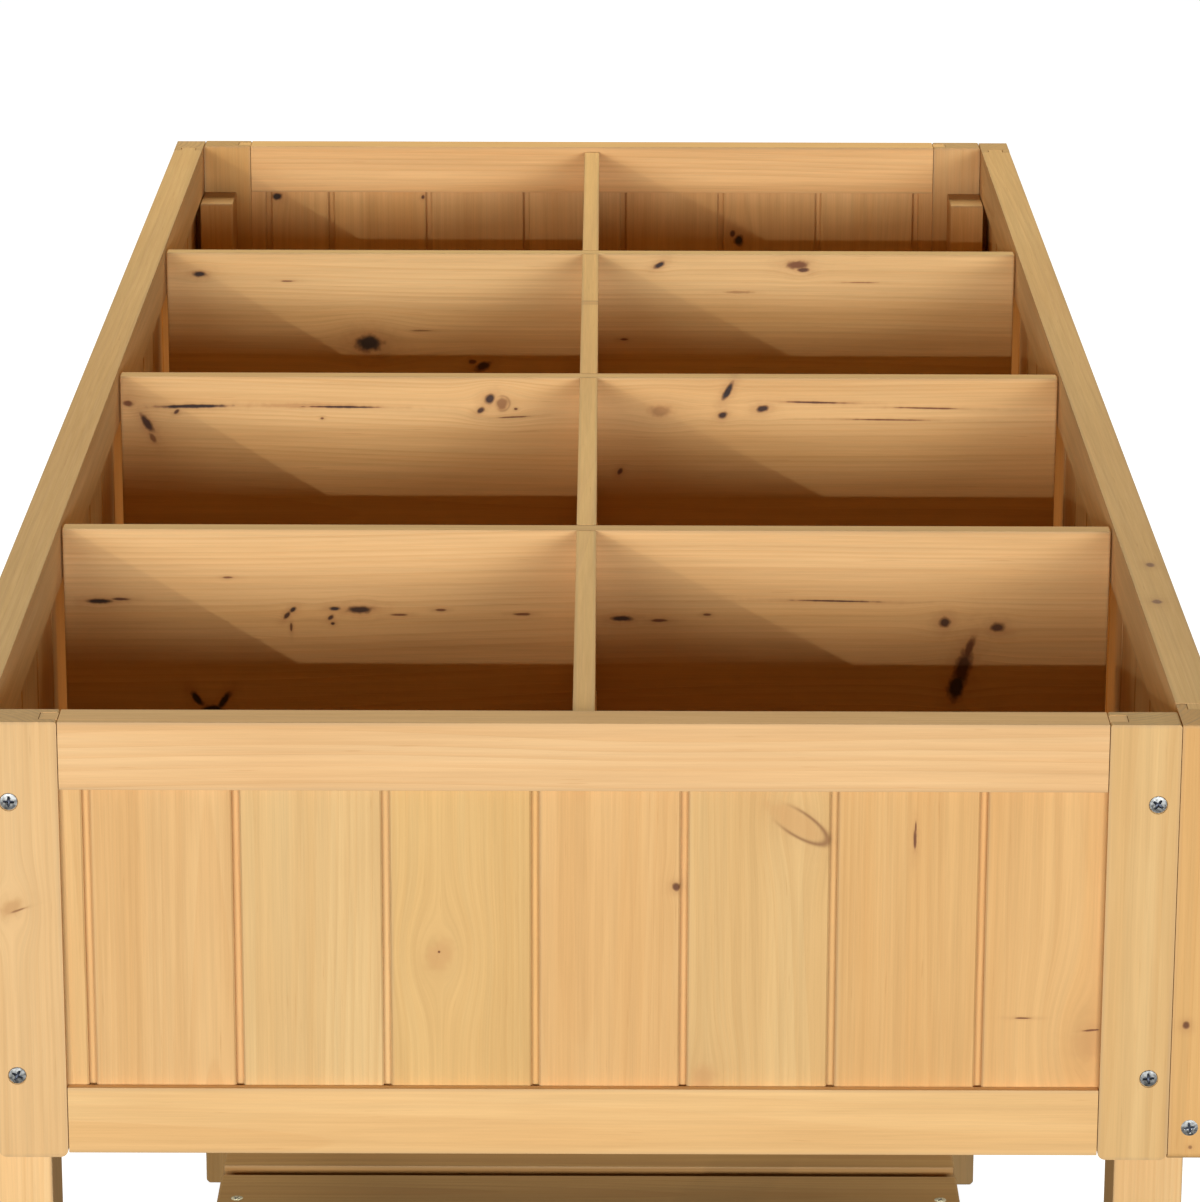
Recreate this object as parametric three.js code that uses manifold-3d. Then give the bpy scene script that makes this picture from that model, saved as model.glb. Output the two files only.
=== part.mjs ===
// A raised garden planter: a long framed wooden box on four legs, divided into
// eight compartments by loose half-lapped boards, with a slatted shelf below.
//
// Millimetres, +Z up. The origin is on the ground under the middle of the
// planter, X runs across it and Y along it. "Near" is the -Y end, "left" is -X.

import * as THREE from "three";
import { mergeVertices } from "three/addons/utils/BufferGeometryUtils.js";
import Module from "manifold-3d";

// ---- driving dimensions -------------------------------------------------

const LENGTH = 1230; // along Y
const WIDTH = 540; // across X
const RIM_Z = 710; // top of the box above the ground
const BOX_HEIGHT = 195;
const BOX_Z = RIM_Z - BOX_HEIGHT; // lower edge of the bottom rails
const STILE_BELOW = 2; // stiles reach this far below the bottom rails
const STILE_CORNER = 3.5; // radius of the lower corners of a stile
const STILE_TOP_CORNER = 1.2;
const CORNER_STEPS = 4; // straight pieces in a rounded corner
const FIT = 0.3; // clearance between two pieces that touch

// Frame-and-panel walls.
const WALL = 18; // thickness of stiles and rails
const MEMBER = 30; // face width of stiles and rails
const GROOVE_WIDTH = 9.6;
const GROOVE_DEPTH = 8;
const TENON_SHORT = 1; // tenon stops this far below the outer edge of its rail

// Tongue-and-groove boards in the walls.
const BOARD = 9; // thickness
const BOARD_PITCH = 63.4;
const FIRST_STRIP = 9.3; // width showing of the first, ripped board
const TONGUE_SHOWS = 3.3; // width of tongue left bare at each joint
const TONGUE_DEPTH = 3; // how far the bare tongue lies below the board face

// Legs.
const LEG_WIDTH = 30; // across X
const LEG_DEPTH = 38; // along Y
const LEG_LEDGE = 9; // shoulder under the side wall
const LEG_BELOW_RIM = 30;
const FOOT_CHAMFER = 2;

// Loose dividers.
const DIVIDER = 9.5; // thickness
const DIVIDER_BELOW_RIM = 3;
const DIVIDER_SLACK = 1; // free space at each end
const CROSS_DIVIDERS = 3;
const LAP_SLACK = 0.4; // clearance on each side of a halved joint

// Floor of the box.
const BEARER_HEIGHT = 20;
const BEARER_WIDTH = 30;
const BEARER_LIFT = 1; // bearers sit this far above the lower edge of the walls
const FLOOR_BOARDS = 6;
const FLOOR_GAP = 4; // drainage gap between floor boards
const FLOOR_MARGIN = 0.5; // floor to wall or leg

// Shelf.
const SHELF_Z = 116.5; // top of the slats
const SLATS = 13;
const SLAT_WIDTH = 73;
const SLAT_GAP = 14.5;
const SLAT = 9; // thickness
const SLAT_HALF_LENGTH = 229.6;
const SHELF_BEARER_WIDTH = 20;
const SHELF_BEARER_HEIGHT = 30;
const SHELF_BEARER_LENGTH = 1180;

// Countersunk wood screws that hold the end walls to the legs.
const SCREW_HEAD_RADIUS = 3.8;
const SCREW_HEAD_HEIGHT = 2.6;
const SCREW_SHANK_RADIUS = 2;
const SCREW_LENGTH = 40;
const SCREW_POINT = 5;
const SCREW_SUNK = 0.2; // head lies this far below the wood
const SCREW_SIDES = 16;
const SCREW_FROM_EDGE = 35.5; // from the upper and lower edge of the wall
const SCREW_FROM_SIDE = 9.3; // from the upright edge of the wall

// ---- derived sizes ------------------------------------------------------

const INNER_X = WIDTH / 2 - WALL;
const INNER_Y = LENGTH / 2 - WALL;
const LEG_IN_X = INNER_X + LEG_LEDGE - LEG_WIDTH;
const LEG_OUT_X = INNER_X + LEG_LEDGE;
const LEDGE_Z = BOX_Z - STILE_BELOW - FIT;
const FLOOR_Z = BOX_Z + BEARER_LIFT + BEARER_HEIGHT + FIT;
const DIVIDER_Z = FLOOR_Z + BOARD + FIT;
const DIVIDER_TOP = RIM_Z - DIVIDER_BELOW_RIM;
const DIVIDER_MIDDLE = (DIVIDER_Z + DIVIDER_TOP) / 2;

// ---- materials ----------------------------------------------------------

const frameWood = { color: 0xe6bd86, roughness: 0.72, metalness: 0 };
const boardWood = { color: 0xe2b47a, roughness: 0.74, metalness: 0 };
const dividerWood = { color: 0xc9955a, roughness: 0.76, metalness: 0 };
const shelfWood = { color: 0xcfa36c, roughness: 0.76, metalness: 0 };
const zinc = { color: 0xbfc0bd, roughness: 0.35, metalness: 0.9 };

// ---- solid helpers ------------------------------------------------------

const wasm = await Module();
wasm.setup();

function solidOf(geometry) {
  const bare = geometry.index ? geometry.toNonIndexed() : geometry.clone();
  bare.deleteAttribute("normal");
  bare.deleteAttribute("uv");
  const merged = mergeVertices(bare, 1e-4);
  const vertProperties = merged.attributes.position.array;
  const triVerts = new Uint32Array(merged.index.array);
  return new wasm.Manifold(new wasm.Mesh({ numProp: 3, vertProperties, triVerts }));
}

function geometryOf(solid) {
  const mesh = solid.getMesh();
  const geometry = new THREE.BufferGeometry();
  geometry.setAttribute("position", new THREE.BufferAttribute(mesh.vertProperties, 3));
  geometry.setIndex(new THREE.BufferAttribute(mesh.triVerts, 1));
  geometry.computeVertexNormals();
  return geometry;
}

function cut(geometry, tools) {
  let solid = solidOf(geometry);
  for (const tool of tools) solid = solid.subtract(solidOf(tool));
  return geometryOf(solid);
}

function join(first, second) {
  return geometryOf(solidOf(first).add(solidOf(second)));
}

function shared(first, second) {
  return geometryOf(solidOf(first).intersect(solidOf(second)));
}

// A box between two corners.
function block([x0, y0, z0], [x1, y1, z1]) {
  const box = new THREE.BoxGeometry(x1 - x0, y1 - y0, z1 - z0);
  return box.translate((x0 + x1) / 2, (y0 + y1) / 2, (z0 + z1) / 2);
}

function outline(points) {
  return new THREE.Shape(points.map(([u, v]) => new THREE.Vector2(u, v)));
}

// An outline in X and Y, drawn upwards from z0 to z1.
function upright(points, z0, z1) {
  const options = { depth: z1 - z0, bevelEnabled: false };
  return new THREE.ExtrudeGeometry(outline(points), options).translate(0, 0, z0);
}

// An outline in Y and Z, drawn along X from x0 to x1.
function alongX(points, x0, x1) {
  const options = { depth: x1 - x0, bevelEnabled: false };
  const turn = new THREE.Matrix4().set(0, 0, 1, x0, 1, 0, 0, 0, 0, 1, 0, 0, 0, 0, 0, 1);
  return new THREE.ExtrudeGeometry(outline(points), options).applyMatrix4(turn);
}

// An outline in X and Z, drawn along Y from y0 to y1.
function alongY(points, y0, y1) {
  const options = { depth: y1 - y0, bevelEnabled: false };
  const turn = new THREE.Matrix4().makeRotationX(Math.PI / 2);
  return new THREE.ExtrudeGeometry(outline(points), options).applyMatrix4(turn).translate(0, y1, 0);
}

function piece(name, geometry, finish) {
  const mesh = new THREE.Mesh(geometry, new THREE.MeshStandardMaterial(finish));
  mesh.name = name;
  return mesh;
}

// ---- screws -------------------------------------------------------------

// A screw pointing along +Y with the top of its head at y = SCREW_SUNK,
// grown by a margin when it is used to cut its own hole.
function screwShape(margin) {
  const head = SCREW_HEAD_RADIUS + margin;
  const shank = SCREW_SHANK_RADIUS + margin;
  const top = SCREW_SUNK - 3 * margin;
  const neck = SCREW_SUNK + SCREW_HEAD_HEIGHT + margin;
  const tip = SCREW_SUNK + SCREW_LENGTH + margin;
  const profile = [
    new THREE.Vector2(0, top),
    new THREE.Vector2(head, top),
    new THREE.Vector2(head, SCREW_SUNK + 0.4),
    new THREE.Vector2(shank, neck),
    new THREE.Vector2(shank, tip - SCREW_POINT),
    new THREE.Vector2(0, tip),
  ];
  return new THREE.LatheGeometry(profile, SCREW_SIDES);
}

// Where the screws stand on an end wall: [x, z], with z from the ground.
function screwPlaces() {
  const x = INNER_X - SCREW_FROM_SIDE;
  const places = [];
  for (const z of [BOX_Z + SCREW_FROM_EDGE, RIM_Z - SCREW_FROM_EDGE])
    for (const side of [-1, 1]) places.push([side * x, z]);
  return places;
}

function screwHoles() {
  return screwPlaces().map(([x, z]) => screwShape(FIT).translate(x, 0, z));
}

// ---- frame-and-panel walls ----------------------------------------------

// In a wall's own frame X runs along the wall, centred, Y runs from its outer
// face (0) to its inner face (WALL), and Z stands on the ground.

// The face outline of a stile in X and Z, with its corners rounded.
function stileFace(x0, x1) {
  const low = BOX_Z - STILE_BELOW;
  const r = STILE_CORNER;
  const t = STILE_TOP_CORNER;
  const face = new THREE.Shape();
  face.moveTo(x0 + r, low);
  face.lineTo(x1 - r, low);
  face.absarc(x1 - r, low + r, r, -Math.PI / 2, 0, false);
  face.lineTo(x1, RIM_Z - t);
  face.absarc(x1 - t, RIM_Z - t, t, 0, Math.PI / 2, false);
  face.lineTo(x0 + t, RIM_Z);
  face.absarc(x0 + t, RIM_Z - t, t, Math.PI / 2, Math.PI, false);
  face.lineTo(x0, low + r);
  face.absarc(x0 + r, low + r, r, Math.PI, 1.5 * Math.PI, false);
  return face.extractPoints(CORNER_STEPS).shape.map((p) => [p.x, p.y]);
}

// side is -1 or 1: the end of the wall that the stile closes.
function stile(wallLength, side) {
  const outer = side * (wallLength / 2);
  const inner = side * (wallLength / 2 - MEMBER);
  const grooveEnd = inner + side * GROOVE_DEPTH;
  const g0 = (WALL - GROOVE_WIDTH) / 2;
  const g1 = (WALL + GROOVE_WIDTH) / 2;
  const section = [
    [outer, 0],
    [inner, 0],
    [inner, g0],
    [grooveEnd, g0],
    [grooveEnd, g1],
    [inner, g1],
    [inner, WALL],
    [outer, WALL],
  ];
  const post = upright(section, BOX_Z - STILE_BELOW, RIM_Z);
  const face = stileFace(Math.min(outer, inner), Math.max(outer, inner));
  return shared(post, alongY(face, -WALL, 2 * WALL));
}

// edge is -1 for the bottom rail, 1 for the top rail.
function rail(wallLength, edge) {
  const outer = edge > 0 ? RIM_Z : BOX_Z;
  const inner = outer - edge * MEMBER;
  const grooveEnd = inner + edge * GROOVE_DEPTH;
  const g0 = (WALL - GROOVE_WIDTH) / 2;
  const g1 = (WALL + GROOVE_WIDTH) / 2;
  const half = wallLength / 2 - MEMBER - FIT;
  const section = [
    [0, outer],
    [0, inner],
    [g0, inner],
    [g0, grooveEnd],
    [g1, grooveEnd],
    [g1, inner],
    [WALL, inner],
    [WALL, outer],
  ];
  const reach = wallLength / 2 - MEMBER + GROOVE_DEPTH - FIT;
  const tenonEdges = [grooveEnd + edge * FIT, outer - edge * TENON_SHORT].sort((a, b) => a - b);
  const tenon = block(
    [-reach, (WALL - BOARD) / 2, tenonEdges[0]],
    [reach, (WALL + BOARD) / 2, tenonEdges[1]],
  );
  return join(alongX(section, -half, half), tenon);
}

// The tongue-and-groove boards, closed up into one sheet with a bare tongue
// showing as a shallow channel at each joint, on both faces.
function boards(wallLength) {
  const opening = wallLength / 2 - MEMBER;
  const reach = opening + GROOVE_DEPTH - FIT;
  const outer = (WALL - BOARD) / 2;
  const inner = (WALL + BOARD) / 2;
  const outside = [[-reach, outer]];
  const inside = [[-reach, inner]];
  for (let x = FIRST_STRIP - opening; x < opening; x += BOARD_PITCH) {
    const next = x + TONGUE_SHOWS;
    const low = outer + TONGUE_DEPTH;
    const high = inner - TONGUE_DEPTH;
    outside.push([x, outer], [x, low], [next, low], [next, outer]);
    inside.push([x, inner], [x, high], [next, high], [next, inner]);
  }
  outside.push([reach, outer]);
  inside.push([reach, inner]);
  const margin = MEMBER - GROOVE_DEPTH + FIT;
  return upright([...outside, ...inside.reverse()], BOX_Z + margin, RIM_Z - margin);
}

// ends names the stiles at the low and high X ends of the wall.
function wall(name, wallLength, ends, holes) {
  const group = new THREE.Group();
  ends.forEach((end, i) => {
    const shape = stile(wallLength, i === 0 ? -1 : 1);
    group.add(piece(`${name}_stile_${end}`, holes.length ? cut(shape, holes) : shape, frameWood));
  });
  group.add(piece(`${name}_top_rail`, rail(wallLength, 1), frameWood));
  group.add(piece(`${name}_bottom_rail`, rail(wallLength, -1), frameWood));
  group.add(piece(`${name}_boards`, boards(wallLength), boardWood));
  return group;
}

// ---- legs ---------------------------------------------------------------

// A leg in the frame of its end wall. Below the box it is full width; above,
// it is cut back behind the side wall, which stands on the ledge that is left.
function leg(side) {
  const section = [
    [LEG_IN_X + FOOT_CHAMFER, 0],
    [LEG_OUT_X - FOOT_CHAMFER, 0],
    [LEG_OUT_X, FOOT_CHAMFER],
    [LEG_OUT_X, LEDGE_Z],
    [INNER_X - FIT, LEDGE_Z],
    [INNER_X - FIT, RIM_Z - LEG_BELOW_RIM],
    [LEG_IN_X, RIM_Z - LEG_BELOW_RIM],
    [LEG_IN_X, FOOT_CHAMFER],
  ].map(([x, z]) => [side * x, z]);
  return alongY(section, WALL + FIT, WALL + LEG_DEPTH);
}

// ---- one end of the planter ---------------------------------------------

// An end wall, its two legs, the four screws that join them and the floor
// bearer fixed between the legs. Both ends are the same, turned round.
function endAssembly(name, ends) {
  const group = wall(`${name}_end`, WIDTH - 2 * WALL - 2 * FIT, ends, screwHoles());
  ends.forEach((end, i) => {
    group.add(piece(`${name}_${end}_leg`, cut(leg(i === 0 ? -1 : 1), screwHoles()), frameWood));
  });
  screwPlaces().forEach(([x, z], i) => {
    const level = i < 2 ? "lower" : "upper";
    const screw = piece(`${name}_${ends[i % 2]}_${level}_screw`, screwShape(0), zinc);
    screw.position.set(x, 0, z);
    group.add(screw);
  });
  const bearer = block(
    [FIT - LEG_IN_X, WALL + FIT, BOX_Z + BEARER_LIFT],
    [LEG_IN_X - FIT, WALL + BEARER_WIDTH, BOX_Z + BEARER_LIFT + BEARER_HEIGHT],
  );
  group.add(piece(`${name}_floor_bearer`, bearer, shelfWood));
  return group;
}

// ---- dividers -----------------------------------------------------------

// The places of the cross dividers along Y, which leave equal compartments.
function crossPlaces() {
  const clear = (2 * INNER_Y - CROSS_DIVIDERS * DIVIDER) / (CROSS_DIVIDERS + 1);
  const places = [];
  for (let i = 0; i < CROSS_DIVIDERS; i += 1)
    places.push(-INNER_Y + clear + DIVIDER / 2 + i * (clear + DIVIDER));
  return places;
}

// The long divider has notches open upwards, drawn as an outline in Y and Z.
function longDivider() {
  const end = INNER_Y - DIVIDER_SLACK;
  const halfNotch = DIVIDER / 2 + LAP_SLACK;
  const section = [
    [end, DIVIDER_TOP],
    [end, DIVIDER_Z],
    [-end, DIVIDER_Z],
    [-end, DIVIDER_TOP],
  ];
  for (const y of crossPlaces()) {
    section.push([y - halfNotch, DIVIDER_TOP]);
    section.push([y - halfNotch, DIVIDER_MIDDLE - LAP_SLACK / 2]);
    section.push([y + halfNotch, DIVIDER_MIDDLE - LAP_SLACK / 2]);
    section.push([y + halfNotch, DIVIDER_TOP]);
  }
  return alongX(section, -DIVIDER / 2, DIVIDER / 2);
}

// A cross divider has one notch open downwards, and stands across y = 0.
function crossDivider() {
  const end = INNER_X - DIVIDER_SLACK;
  const halfNotch = DIVIDER / 2 + LAP_SLACK;
  const section = [
    [-end, DIVIDER_TOP],
    [-end, DIVIDER_Z],
    [-halfNotch, DIVIDER_Z],
    [-halfNotch, DIVIDER_MIDDLE + LAP_SLACK / 2],
    [halfNotch, DIVIDER_MIDDLE + LAP_SLACK / 2],
    [halfNotch, DIVIDER_Z],
    [end, DIVIDER_Z],
    [end, DIVIDER_TOP],
  ];
  return alongY(section, -DIVIDER / 2, DIVIDER / 2);
}

// ---- floor --------------------------------------------------------------

// Boards along the box. The two outer ones are notched round the legs.
function floorBoards() {
  const group = new THREE.Group();
  const half = INNER_X - FLOOR_MARGIN;
  const width = (2 * half - (FLOOR_BOARDS - 1) * FLOOR_GAP) / FLOOR_BOARDS;
  const end = INNER_Y - FLOOR_MARGIN;
  const legX = LEG_IN_X - FLOOR_MARGIN;
  const legY = LENGTH / 2 - WALL - LEG_DEPTH - FLOOR_MARGIN;
  for (let i = 0; i < FLOOR_BOARDS; i += 1) {
    const x0 = -half + i * (width + FLOOR_GAP);
    const x1 = x0 + width;
    const low = i === 0 ? -legX : x0;
    const high = i === FLOOR_BOARDS - 1 ? legX : x1;
    const corners = [
      [low, -end],
      [high, -end],
      [high, -legY],
      [x1, -legY],
      [x1, legY],
      [high, legY],
      [high, end],
      [low, end],
      [low, legY],
      [x0, legY],
      [x0, -legY],
      [low, -legY],
    ];
    const shape = corners.filter(([x, y], k) => {
      const [px, py] = corners[(k + corners.length - 1) % corners.length];
      return x !== px || y !== py;
    });
    group.add(piece(`floor_board_${i + 1}`, upright(shape, FLOOR_Z, FLOOR_Z + BOARD), shelfWood));
  }
  const middle = block(
    [FIT - INNER_X, -BEARER_WIDTH / 2, BOX_Z + BEARER_LIFT],
    [INNER_X - FIT, BEARER_WIDTH / 2, BOX_Z + BEARER_LIFT + BEARER_HEIGHT],
  );
  group.add(piece("middle_floor_bearer", middle, shelfWood));
  return group;
}

// ---- shelf --------------------------------------------------------------

function shelf() {
  const group = new THREE.Group();
  for (const [name, side] of [["left", -1], ["right", 1]]) {
    const x = side * (LEG_IN_X - FIT - SHELF_BEARER_WIDTH / 2);
    const size = [SHELF_BEARER_WIDTH, SHELF_BEARER_LENGTH, SHELF_BEARER_HEIGHT];
    const bearer = piece(`shelf_bearer_${name}`, new THREE.BoxGeometry(...size), shelfWood);
    bearer.position.set(x, 0, SHELF_Z - SLAT - FIT - SHELF_BEARER_HEIGHT / 2);
    group.add(bearer);
  }
  for (let i = 0; i < SLATS; i += 1) {
    const size = [2 * SLAT_HALF_LENGTH, SLAT_WIDTH, SLAT];
    const slat = piece(`shelf_slat_${i + 1}`, new THREE.BoxGeometry(...size), shelfWood);
    slat.position.set(0, (i - (SLATS - 1) / 2) * (SLAT_WIDTH + SLAT_GAP), SHELF_Z - SLAT / 2);
    group.add(slat);
  }
  return group;
}

// ---- assembly -----------------------------------------------------------

const planter = new THREE.Group();

const nearEnd = endAssembly("near", ["left", "right"]);
nearEnd.position.set(0, -LENGTH / 2, 0);
planter.add(nearEnd);

const farEnd = endAssembly("far", ["right", "left"]);
farEnd.rotation.z = Math.PI;
farEnd.position.set(0, LENGTH / 2, 0);
planter.add(farEnd);

const leftSide = wall("left_side", LENGTH, ["far", "near"], []);
leftSide.rotation.z = -Math.PI / 2;
leftSide.position.set(-WIDTH / 2, 0, 0);
planter.add(leftSide);

const rightSide = wall("right_side", LENGTH, ["near", "far"], []);
rightSide.rotation.z = Math.PI / 2;
rightSide.position.set(WIDTH / 2, 0, 0);
planter.add(rightSide);

planter.add(piece("long_divider", longDivider(), dividerWood));
crossPlaces().forEach((y, i) => {
  const divider = piece(`cross_divider_${i + 1}`, crossDivider(), dividerWood);
  divider.position.set(0, y, 0);
  planter.add(divider);
});

planter.add(floorBoards());
planter.add(shelf());

export default planter;
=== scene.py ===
"""Looks for the raised planter: softwood with grain and knots, boards, screws, light and camera.

Everything is in metres in the planter's own frame: +Z up, X across, Y along it, with the near end at -Y.
"""

import math
import random

import bmesh
import bpy
from mathutils import Matrix, Vector


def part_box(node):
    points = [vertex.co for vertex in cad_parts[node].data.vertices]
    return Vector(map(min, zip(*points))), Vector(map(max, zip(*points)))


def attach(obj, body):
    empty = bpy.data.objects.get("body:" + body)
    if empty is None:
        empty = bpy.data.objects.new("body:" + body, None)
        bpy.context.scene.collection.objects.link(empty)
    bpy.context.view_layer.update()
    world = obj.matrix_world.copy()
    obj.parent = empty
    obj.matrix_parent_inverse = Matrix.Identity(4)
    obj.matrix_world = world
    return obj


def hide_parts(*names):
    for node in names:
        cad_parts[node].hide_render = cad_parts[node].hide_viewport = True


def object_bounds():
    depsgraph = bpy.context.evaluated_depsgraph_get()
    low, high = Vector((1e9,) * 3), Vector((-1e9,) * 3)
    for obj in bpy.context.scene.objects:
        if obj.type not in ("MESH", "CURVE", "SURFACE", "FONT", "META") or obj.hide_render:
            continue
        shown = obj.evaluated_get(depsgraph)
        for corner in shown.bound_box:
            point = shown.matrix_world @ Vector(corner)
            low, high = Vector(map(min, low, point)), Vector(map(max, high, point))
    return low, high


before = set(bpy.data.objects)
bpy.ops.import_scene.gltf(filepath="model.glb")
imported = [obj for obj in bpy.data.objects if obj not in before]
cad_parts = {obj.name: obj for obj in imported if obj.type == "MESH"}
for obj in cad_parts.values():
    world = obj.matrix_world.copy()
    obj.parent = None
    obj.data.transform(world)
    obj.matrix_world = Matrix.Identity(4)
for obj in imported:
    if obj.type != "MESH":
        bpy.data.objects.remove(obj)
cad_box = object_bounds()
MM = 0.001


# ---- camera -----------------------------------------------------------------

def make_camera():
    """A long lens in front of the near end, looking down into the compartments."""
    data = bpy.data.cameras.new("camera")
    data.sensor_width = 36
    data.lens = 152.3
    data.clip_start, data.clip_end = 0.05, 100
    camera = bpy.data.objects.new("camera", data)
    bpy.context.scene.collection.objects.link(camera)
    pitch, yaw, roll = math.radians(16.575), math.radians(0.042), math.radians(0.142)
    turn = Matrix.Rotation(yaw, 4, "Z") @ Matrix.Rotation(math.pi / 2 - pitch, 4, "X")
    place = Matrix.Translation((0.0083, -2.6477, 1.3688))
    camera.matrix_world = place @ turn @ Matrix.Rotation(roll, 4, "Z")
    bpy.context.scene.camera = camera


make_camera()


# ---- node graph shorthand ---------------------------------------------------

class Graph:
    """Short calls for building one node tree. A value is a number, a tuple or a socket."""

    def __init__(self, tree):
        self.tree = tree

    def feed(self, socket, value):
        if isinstance(value, bpy.types.NodeSocket):
            self.tree.links.new(value, socket)
        elif value is not None:
            socket.default_value = value

    def node(self, kind, inputs=(), **settings):
        made = self.tree.nodes.new(kind)
        for key, value in settings.items():
            setattr(made, key, value)
        for key, value in dict(inputs).items():
            self.feed(made.inputs[key], value)
        return made

    def math(self, operation, a, b=None):
        made = self.node("ShaderNodeMath", operation=operation)
        for socket, value in zip(made.inputs, (a, b)):
            self.feed(socket, value)
        return made.outputs[0]

    def add(self, a, b):
        return self.math("ADD", a, b)

    def sub(self, a, b):
        return self.math("SUBTRACT", a, b)

    def mul(self, a, b):
        return self.math("MULTIPLY", a, b)

    def smooth(self, value, low, high, to_low=0.0, to_high=1.0):
        made = self.node("ShaderNodeMapRange", interpolation_type="SMOOTHSTEP")
        keys = ("Value", "From Min", "From Max", "To Min", "To Max")
        for key, item in zip(keys, (value, low, high, to_low, to_high)):
            self.feed(made.inputs[key], item)
        return made.outputs[0]

    def xyz(self, x, y, z):
        return self.node("ShaderNodeCombineXYZ", {"X": x, "Y": y, "Z": z}).outputs[0]

    def noise(self, vector, scale, detail=2.0, roughness=0.5):
        inputs = {"Vector": vector, "Scale": scale, "Detail": detail, "Roughness": roughness}
        return self.node("ShaderNodeTexNoise", inputs, noise_dimensions="3D").outputs["Fac"]

    def mix(self, share, a, b, blend="MIX"):
        made = self.node("ShaderNodeMix", data_type="RGBA", blend_type=blend)
        for index, value in ((0, share), (6, a), (7, b)):
            self.feed(made.inputs[index], value if not isinstance(value, tuple) else (*value, 1.0))
        return made.outputs[2]


def new_group(name, inputs, outputs):
    """A shader node group with float sockets, or colour sockets where the name starts with Color."""
    tree = bpy.data.node_groups.new(name, "ShaderNodeTree")
    for in_out, names in (("INPUT", inputs), ("OUTPUT", outputs)):
        for item in names:
            kind = "NodeSocketColor" if item.startswith("Color") else "NodeSocketFloat"
            tree.interface.new_socket(name=item, in_out=in_out, socket_type=kind)
    graph = Graph(tree)
    return graph, tree.nodes.new("NodeGroupInput").outputs, tree.nodes.new("NodeGroupOutput").inputs


# ---- wood -------------------------------------------------------------------

def knot_group():
    """Bends the grain round one knot and adds the knot to the masks it is given."""
    names = ("Along", "Across", "Ragged", "Bent", "Core", "Dark", "Halo", "Bark")
    own = ("Inward", "At along", "At across", "Radius", "Stretch", "Cosine", "Sine", "Darkness", "Bend",
           "Rim")
    g, i, o = new_group("knot", names + own, ("Bent", "Core", "Dark", "Halo", "Bark"))
    x = g.sub(i["Along"], i["At along"])
    y = g.sub(i["Across"], i["At across"])
    long_way = g.add(g.mul(x, i["Cosine"]), g.mul(y, i["Sine"]))
    short_way = g.sub(g.mul(y, i["Cosine"]), g.mul(x, i["Sine"]))
    long_way = g.math("DIVIDE", long_way, i["Stretch"])
    in_face = g.add(g.mul(long_way, long_way), g.mul(short_way, short_way))
    distance = g.math("SQRT", g.add(in_face, i["Inward"]))
    smooth_near = g.math("DIVIDE", distance, i["Radius"])
    near = g.mul(smooth_near, i["Ragged"])
    around = g.math("DIVIDE", g.math("SQRT", g.add(g.mul(g.mul(x, x), 0.35), g.mul(y, y))), i["Radius"])
    swell = g.math("EXPONENT", g.mul(g.mul(around, around), -0.16))
    g.feed(o["Bent"], g.sub(i["Bent"], g.mul(g.mul(y, swell), i["Bend"])))
    core = g.smooth(near, 0.45, 1.35, 1.0, 0.0)
    g.feed(o["Core"], g.math("MAXIMUM", i["Core"], core))
    g.feed(o["Dark"], g.math("MAXIMUM", i["Dark"], g.mul(core, i["Darkness"])))
    fade = g.math("EXPONENT", g.mul(g.mul(near, near), -0.30))
    halo = g.mul(fade, g.smooth(i["Darkness"], 0.0, 0.7, 0.25, 1.0))
    g.feed(o["Halo"], g.math("MAXIMUM", i["Halo"], halo))
    off = g.math("DIVIDE", g.sub(smooth_near, 1.0), 0.13)
    line = g.mul(g.math("EXPONENT", g.mul(g.mul(off, off), -1.0)), g.mul(i["Rim"], 0.75))
    g.feed(o["Bark"], g.math("MAXIMUM", i["Bark"], g.mul(line, g.smooth(long_way, -0.004, 0.001))))
    return g.tree


EARLY = (0.760, 0.446, 0.156)
LATE = (0.640, 0.325, 0.092)
BLOTCH = (0.70, 0.375, 0.118)
KNOT_PALE = (0.62, 0.305, 0.090)
KNOT_BROWN = (0.20, 0.070, 0.020)
KNOT_DEAD = (0.017, 0.009, 0.005)
HALO = (0.53, 0.245, 0.066)
STAIN = (0.44, 0.195, 0.055)


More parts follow.
